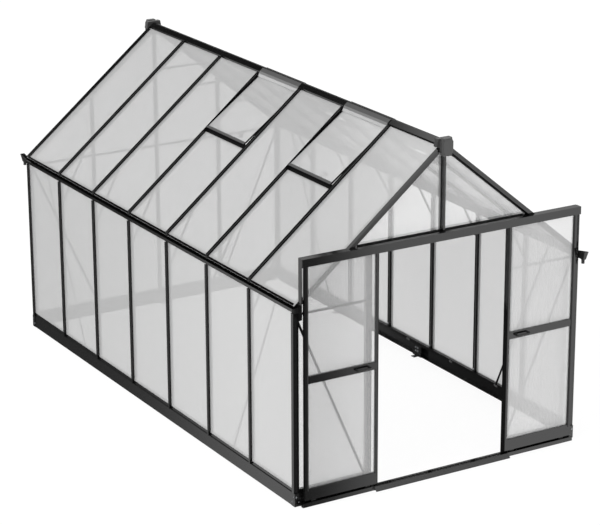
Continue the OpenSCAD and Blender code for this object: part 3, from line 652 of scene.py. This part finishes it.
# In mm: the meeting strip's width on each leaf, the gasket's two edges in from the leaf's
# outer edge and how far back it reaches, the parts of the leaf's height that have none,
# the middle rail's screws above the ground, and the bow of the handle seen from above.
MEETING_STRIP = {"left_door": 7, "right_door": 4}
GASKET_FROM, GASKET_TO, GASKET_DEEP = 18, 28, 9.6
KICK_TOP, HEAD_DEEP = 68, 16
MID_SCREWS = (915, 946)
HANDLE_FEET = (-50, 50)
BOW = ((-58, 0), (-58, 29.7), (58, 29.7), (58, 0), (50, 0), (50, 22), (-50, 22), (-50, 0))
for body in ("left_door", "right_door"):
    near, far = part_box(body + "_handle")
    grip = (near + far) / 2 * 1000
    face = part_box(body + "_frame")[0].y * 1000

    def on_door(a, b, along, grip=grip, face=face):
        return mm(grip.x + a, face - b, grip.z + along)

    # Bow handle, moulded in one with a round foot at each end: its bends are rounded by
    # 8 mm, then the edges of its faces by 1.2 mm.
    bm = bmesh.new()
    bow = profile(bm, BOW, -6, 6, on_door)
    bends = [e for e in edges_of(bow) if abs(e.verts[0].co.z - e.verts[1].co.z) > 0.005
             and abs(e.verts[0].co.y - face / 1000) > 0.01]
    bmesh.ops.bevel(bm, geom=bends, offset=0.008, segments=5, profile=0.5,
                    affect="EDGES", material=-1)
    bmesh.ops.bevel(bm, geom=[e for e in bm.edges if abs(e.verts[0].co.z - e.verts[1].co.z) < 0.001],
                    offset=0.0012, segments=2, profile=0.5, affect="EDGES", material=-1)
    for a in HANDLE_FEET:
        foot = bmesh.ops.create_cone(bm, cap_ends=True, segments=28, radius1=0.010, radius2=0.0085,
                                     depth=0.0032)["verts"]
        flat = Matrix.Rotation(math.pi / 2, 4, "X")
        bmesh.ops.transform(bm, matrix=Matrix.Translation(on_door(a, 1.9, 0)) @ flat, verts=foot)
    bow_handle = piece(body + "_bow_handle", bm, moulded, body)
    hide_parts(body + "_handle")

    # A rubber strip down the meeting stile, wider on the left leaf, which laps the right
    # one's, and a rubber gasket from the outer stile on to the sheets.
    low, high = (v * 1000 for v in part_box(body + "_frame"))
    toward = 1 if body == "left_door" else -1
    outer, meeting = (low.x, high.x) if toward > 0 else (high.x, low.x)
    bm = bmesh.new()
    slab(bm, (meeting, low.y - 0.9, low.z + 1),
         (meeting - toward * MEETING_STRIP[body], low.y + 0.4, high.z - 20), 0.3)
    slab(bm, (outer + toward * GASKET_FROM, low.y - 0.9, low.z + KICK_TOP),
         (outer + toward * GASKET_TO, low.y + GASKET_DEEP, high.z - HEAD_DEEP), 0.3)
    piece(body + "_meeting_strip", bm, rubber, body)

    # Screws hold the kick plate and the middle rail between the stiles, from behind.
    bm = bmesh.new()
    for x in (low.x + 10, high.x - 10):
        for z in (low.z + 24, low.z + 62, *MID_SCREWS):
            hex_bolt(bm, mm(x, high.y, z), (0, 1, 0), across=6.0, tall=2.6)
    piece(body + "_screws", bm, zinc, body)

    # Each upper hanger carries a nylon wheel on an axle bolt with a head at both ends. The
    # lower solids are the guides in the bottom track, which have none.
    bm = bmesh.new()
    for group in solids(body + "_rollers"):
        near, far = corners(group)
        if far.z < 1:
            continue
        x = (near.x + far.x) / 2
        z = far.z - 0.008
        for y, out in ((near.y, -1), (far.y, 1)):
            hex_bolt(bm, (x, y - out * 0.0005, z), (0, out, 0), across=5.0, tall=1.4)
    piece(body + "_axle_bolts", bm, zinc, body)

# ---------------------------------------------------------------- twin-wall sheets
# Extruded polycarbonate sheet, 4 mm, two clear skins joined by upright ribs about 6 mm
# apart. The ribs and inner faces scatter light, so a sheet is clear enough to look
# through head on and milky at a slant, with a soft mirror on its skins.

# The share of light that goes straight through, against how far a sheet is turned from
# the eye: 0 head on, 1 edge on.
THROUGH = ((0.0, 0.85), (0.19, 0.79), (0.45, 0.47), (0.62, 0.43), (1.0, 0.2))
SHEET_IOR = 1.58
MILK_ROUGH, SKIN_ROUGH = 0.45, 0.08


def twin_wall(name, across, milk_tone, through, mirror_share, rib_mm=13.0):
    """Twin-wall sheet: milk under a soft mirror, with gaps that let the view through. Its
    ribs are spaced along axis 0, 1 or 2 and drawn at twice the real spacing so that they
    show. Its haze drifts over 625 mm, one sheet's width."""
    material, tree = new_material(name)
    place = add(tree, "TexCoord").outputs["Object"]
    axes = add(tree, "SeparateXYZ", {0: place})
    turns = add(tree, "Math", {0: axes.outputs[across], 1: 2000 * math.pi / rib_mm}, operation="MULTIPLY")
    wave = add(tree, "Math", {0: turns.outputs[0]}, operation="SINE")
    rib = add(tree, "MapRange", {"Value": wave.outputs[0], "From Min": 0.3, "From Max": 1.0})
    cloud = add(tree, "TexNoise", {"Vector": place, "Scale": 1000 / 625, "Detail": 2.0})
    slant = add(tree, "LayerWeight", {"Blend": 0.5})
    ramp = add(tree, "ValToRGB", {0: slant.outputs["Facing"]})
    stops = ramp.color_ramp.elements
    while len(stops) < len(THROUGH):
        stops.new(0.5)
    for stop, (at, value) in zip(stops, THROUGH):
        value *= through
        stop.position = at
        stop.color = (value, value, value, 1.0)
    loss = add(tree, "MapRange", {"Value": rib.outputs[0], "To Min": 1.0, "To Max": 0.93})
    clear = add(tree, "Math", {0: ramp.outputs[0], 1: loss.outputs[0]}, operation="MULTIPLY")
    haze = add(tree, "MapRange", {"Value": cloud.outputs["Fac"], "To Min": 0.97, "To Max": 1.03})
    open_share = add(tree, "Math", {0: clear.outputs[0], 1: haze.outputs[0]}, operation="MULTIPLY")
    bump = add(tree, "Bump", {"Height": rib.outputs[0], "Strength": 0.15, "Distance": 0.0002})
    milk = add(tree, "BsdfPrincipled", {
        "Base Color": srgb(milk_tone), "Roughness": MILK_ROUGH, "IOR": SHEET_IOR,
        "Normal": bump.outputs[0]})
    gap = add(tree, "BsdfTransparent", {"Color": srgb("#ffffff")})
    body = add(tree, "MixShader", {0: open_share.outputs[0], 1: milk.outputs[0], 2: gap.outputs[0]})
    steep = add(tree, "Math", {0: slant.outputs["Facing"], 1: 5.0}, operation="POWER")
    mirror = add(tree, "MapRange", {"Value": steep.outputs[0], "To Min": mirror_share, "To Max": 1.0})
    skin = add(tree, "BsdfGlossy", {
        "Color": srgb("#ffffff"), "Roughness": SKIN_ROUGH, "Normal": bump.outputs[0]})
    whole = add(tree, "MixShader", {0: mirror.outputs[0], 1: body.outputs[0], 2: skin.outputs[0]})
    add(tree, "OutputMaterial", {"Surface": whole.outputs[0]})
    return material


# The sheet is one stock, but light reaches each face of the building from another side, so
# each has a material of its own, whose milk tone and clear share are painted light and
# shade: the left wall is drawn the milkiest and the right wall the clearest, and both walls
# shine less than the roof, gables and doors.
left_sheet = twin_wall("twin_wall_polycarbonate_left_wall", 1, "#c3c3c3", 0.88, 0.015)
right_sheet = twin_wall("twin_wall_polycarbonate_right_wall", 1, "#c6c6c6", 1.3, 0.015)
roof_sheet = twin_wall("twin_wall_polycarbonate_roof", 1, "#cecece", 1.0, 0.09)
gable_sheet = twin_wall("twin_wall_polycarbonate_gable", 0, "#ffffff", 1.06, 0.09)
door_sheet = twin_wall("twin_wall_polycarbonate_door", 0, "#cdcdcd", 0.94, 0.09)
dress(left_sheet, "left_wall_panels")
dress(right_sheet, "right_wall_panels")
dress(roof_sheet, "left_roof_panels", "right_roof_panels", "vent_panes")
dress(gable_sheet, "back_gable_panels", "front_gable_panels")
dress(door_sheet, "left_door_panels", "right_door_panels")

# Each vent's pane is carried up over the head of its sash by a lap of the same sheet, from
# the foot of the sloping weather strip.
LAP = ((62.2, 6.4), (62.2, 7.6), (83, -1.3), (83, -2.5))
bm = bmesh.new()
for side in (-1, 1):
    for y in VENT_YS:
        def on_sash(a, b, along, side=side):
            return slope_frame(side) @ mm(a, along, b)

        profile(bm, LAP, y - SASH_HALF, y + SASH_HALF, on_sash)
piece("vent_lap_strips", bm, roof_sheet)

# ---------------------------------------------------------------- studio
# A white floor that fades into a white surround and keeps a faint shadow. Gloss sees a
# studio of white walls with two dark screens, one before and one behind the building.

FLOOR_HALF = 60.0
FLOOR_DROP = 0.001
FLOOR_GLOW = 0.91
PAPER_GREY = (0.12, 0.12, 0.12, 1.0)

bm = bmesh.new()
bmesh.ops.create_grid(bm, x_segments=1, y_segments=1, size=FLOOR_HALF)
floor_mesh = bpy.data.meshes.new("floor")
bm.to_mesh(floor_mesh)
bm.free()
floor = bpy.data.objects.new("floor", floor_mesh)
floor.location.z = -FLOOR_DROP
floor.visible_glossy = False
bpy.context.scene.collection.objects.link(floor)
floor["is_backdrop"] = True

# Paper lit almost to white by itself, with a little grey over it that takes the shadow.
floor_paper, floor_tree = new_material("floor_paper")
glow = add(floor_tree, "Emission", {"Color": srgb("#ffffff"), "Strength": FLOOR_GLOW})
paper = add(floor_tree, "BsdfDiffuse", {"Color": PAPER_GREY})
both = add(floor_tree, "AddShader", {0: glow.outputs[0], 1: paper.outputs[0]})
add(floor_tree, "OutputMaterial", {"Surface": both.outputs[0]})
floor_mesh.materials.append(floor_paper)

world = bpy.data.worlds.new("studio")
bpy.context.scene.world = world
world.use_nodes = True
sky = world.node_tree
sky.nodes.clear()
toward = add(sky, "SeparateXYZ", {0: add(sky, "TexCoord").outputs["Generated"]})
side, along, rise = toward.outputs
depth = add(sky, "Math", {0: along}, operation="ABSOLUTE")
lean = add(sky, "Math", {0: side, 1: depth.outputs[0]}, operation="DIVIDE")
turn = add(sky, "Math", {0: lean.outputs[0]}, operation="ABSOLUTE")
TURN_LEAST, TURN_MOST = 0.4, 1.4


def studio_wall(stops):
    """The grey level of a wall, given in pairs with how far it is turned from the building's
    long axis: the run to one side over the run ahead. A ramp holds at most 1, so it carries
    half of each level."""
    spot = add(sky, "MapRange", {"Value": turn.outputs[0], "From Min": TURN_LEAST, "From Max": TURN_MOST})
    ramp = add(sky, "ValToRGB", {0: spot.outputs[0]})
    marks = ramp.color_ramp.elements
    while len(marks) < len(stops):
        marks.new(0.5)
    for mark, (at, value) in zip(marks, stops):
        mark.position = at - TURN_LEAST
        mark.color = (value / 2, value / 2, value / 2, 1.0)
    return add(sky, "Math", {0: ramp.outputs[0], 1: 2.0}, operation="MULTIPLY").outputs[0]


# The screen before the building is dark ahead and the wall beside it bright. Behind it,
# the screen is dark on both sides of a bright doorway.
front_wall = studio_wall(((0.4, 0.05), (0.611, 0.06), (0.643, 1.38), (0.75, 1.5), (1.4, 1.2)))
back_wall = studio_wall(((0.4, 0.09), (0.508, 0.11), (0.542, 0.6), (0.59, 1.05), (0.615, 1.0),
                         (0.64, 0.03), (1.0, 0.03), (1.1, 0.8)))
behind = add(sky, "MapRange", {"Value": along, "From Min": -0.05, "From Max": 0.05})
walls = add(sky, "Mix", {0: behind.outputs[0], 2: front_wall, 3: back_wall}, data_type="FLOAT")

# Over the walls the gloss meets a frieze that darkens upwards, and then a bright ceiling.
upper = add(sky, "MapRange", {"Value": rise, "From Min": 0.02, "From Max": 0.12})
frieze = add(sky, "MapRange", {"Value": rise, "From Min": 0.4, "From Max": 0.45,
                               "To Min": 0.6, "To Max": 0.03}, interpolation_type="SMOOTHSTEP")
ceiling = add(sky, "MapRange", {"Value": rise, "From Min": 0.56, "From Max": 0.59,
                                "To Min": 0.0, "To Max": 1.4}, interpolation_type="SMOOTHSTEP")
over = add(sky, "Math", {0: frieze.outputs[0], 1: ceiling.outputs[0]}, operation="MAXIMUM")
mirrored = add(sky, "Mix", {0: upper.outputs[0], 2: walls.outputs[0], 3: over.outputs[0]},
               data_type="FLOAT")

# The eye meets plain white, through the sheets too. Gloss sees the walls above, and soft
# light falls on all the rest.
SOFT_LIGHT = 0.84
path = add(sky, "LightPath")
soft = add(sky, "Background", {"Color": srgb("#ffffff"), "Strength": SOFT_LIGHT})
gloss = add(sky, "Background", {"Color": srgb("#ffffff"), "Strength": mirrored.outputs[0]})
white = add(sky, "Background", {"Color": srgb("#ffffff"), "Strength": 1.0})
seen = add(sky, "MixShader", {0: path.outputs["Is Glossy Ray"], 1: soft.outputs[0], 2: gloss.outputs[0]})
straight = add(sky, "Math", {0: path.outputs["Is Camera Ray"], 1: path.outputs["Is Transmission Ray"]},
               operation="MAXIMUM")
dome = add(sky, "MixShader", {0: straight.outputs[0], 1: seen.outputs[0], 2: white.outputs[0]})
add(sky, "OutputWorld", {"Surface": dome.outputs[0]})

# One broad soft lamp stands about 30 degrees up on the left, so that the faces on that
# side are lit a little more than the front.
KEY_FROM = (-0.85, -0.1, 0.5)
KEY_STRENGTH, KEY_SPREAD = 1.26, 45
lamp = bpy.data.lights.new("soft_key", "SUN")
lamp.energy = KEY_STRENGTH
lamp.angle = math.radians(KEY_SPREAD)
key = bpy.data.objects.new("soft_key", lamp)
key.rotation_euler = Vector(KEY_FROM).to_track_quat("Z", "Y").to_euler()
key.visible_glossy = False
bpy.context.scene.collection.objects.link(key)

# A long lens looks down on the front left corner from about 16 m away.
EYE = (-8.67874, -14.79101, 6.68534)
AZIMUTH, ELEVATION, ROLL = -30.79, 18.47, -0.24
LENS, SENSOR = 140.0, 36.0
camera = bpy.data.objects.new("camera", bpy.data.cameras.new("camera"))
bpy.context.scene.collection.objects.link(camera)
camera.data.sensor_width = SENSOR
camera.data.lens = LENS
camera.data.clip_end = 300.0
azimuth, elevation, roll = (math.radians(v) for v in (AZIMUTH, ELEVATION, ROLL))
back = Vector((math.sin(azimuth) * math.cos(elevation), -math.cos(azimuth) * math.cos(elevation),
               math.sin(elevation)))
right = Vector((math.cos(azimuth), math.sin(azimuth), 0.0))
up = back.cross(right)
right, up = (math.cos(roll) * right + math.sin(roll) * up, math.cos(roll) * up - math.sin(roll) * right)
camera.matrix_world = Matrix.Translation(EYE) @ Matrix((right, up, back)).transposed().to_4x4()
scene = bpy.context.scene
scene.camera = camera
scene.view_settings.view_transform = "Standard"
scene.cycles.transparent_max_bounces = 32

low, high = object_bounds()
{"cad": [list(cad_low), list(cad_high)], "visual": [list(low), list(high)]}
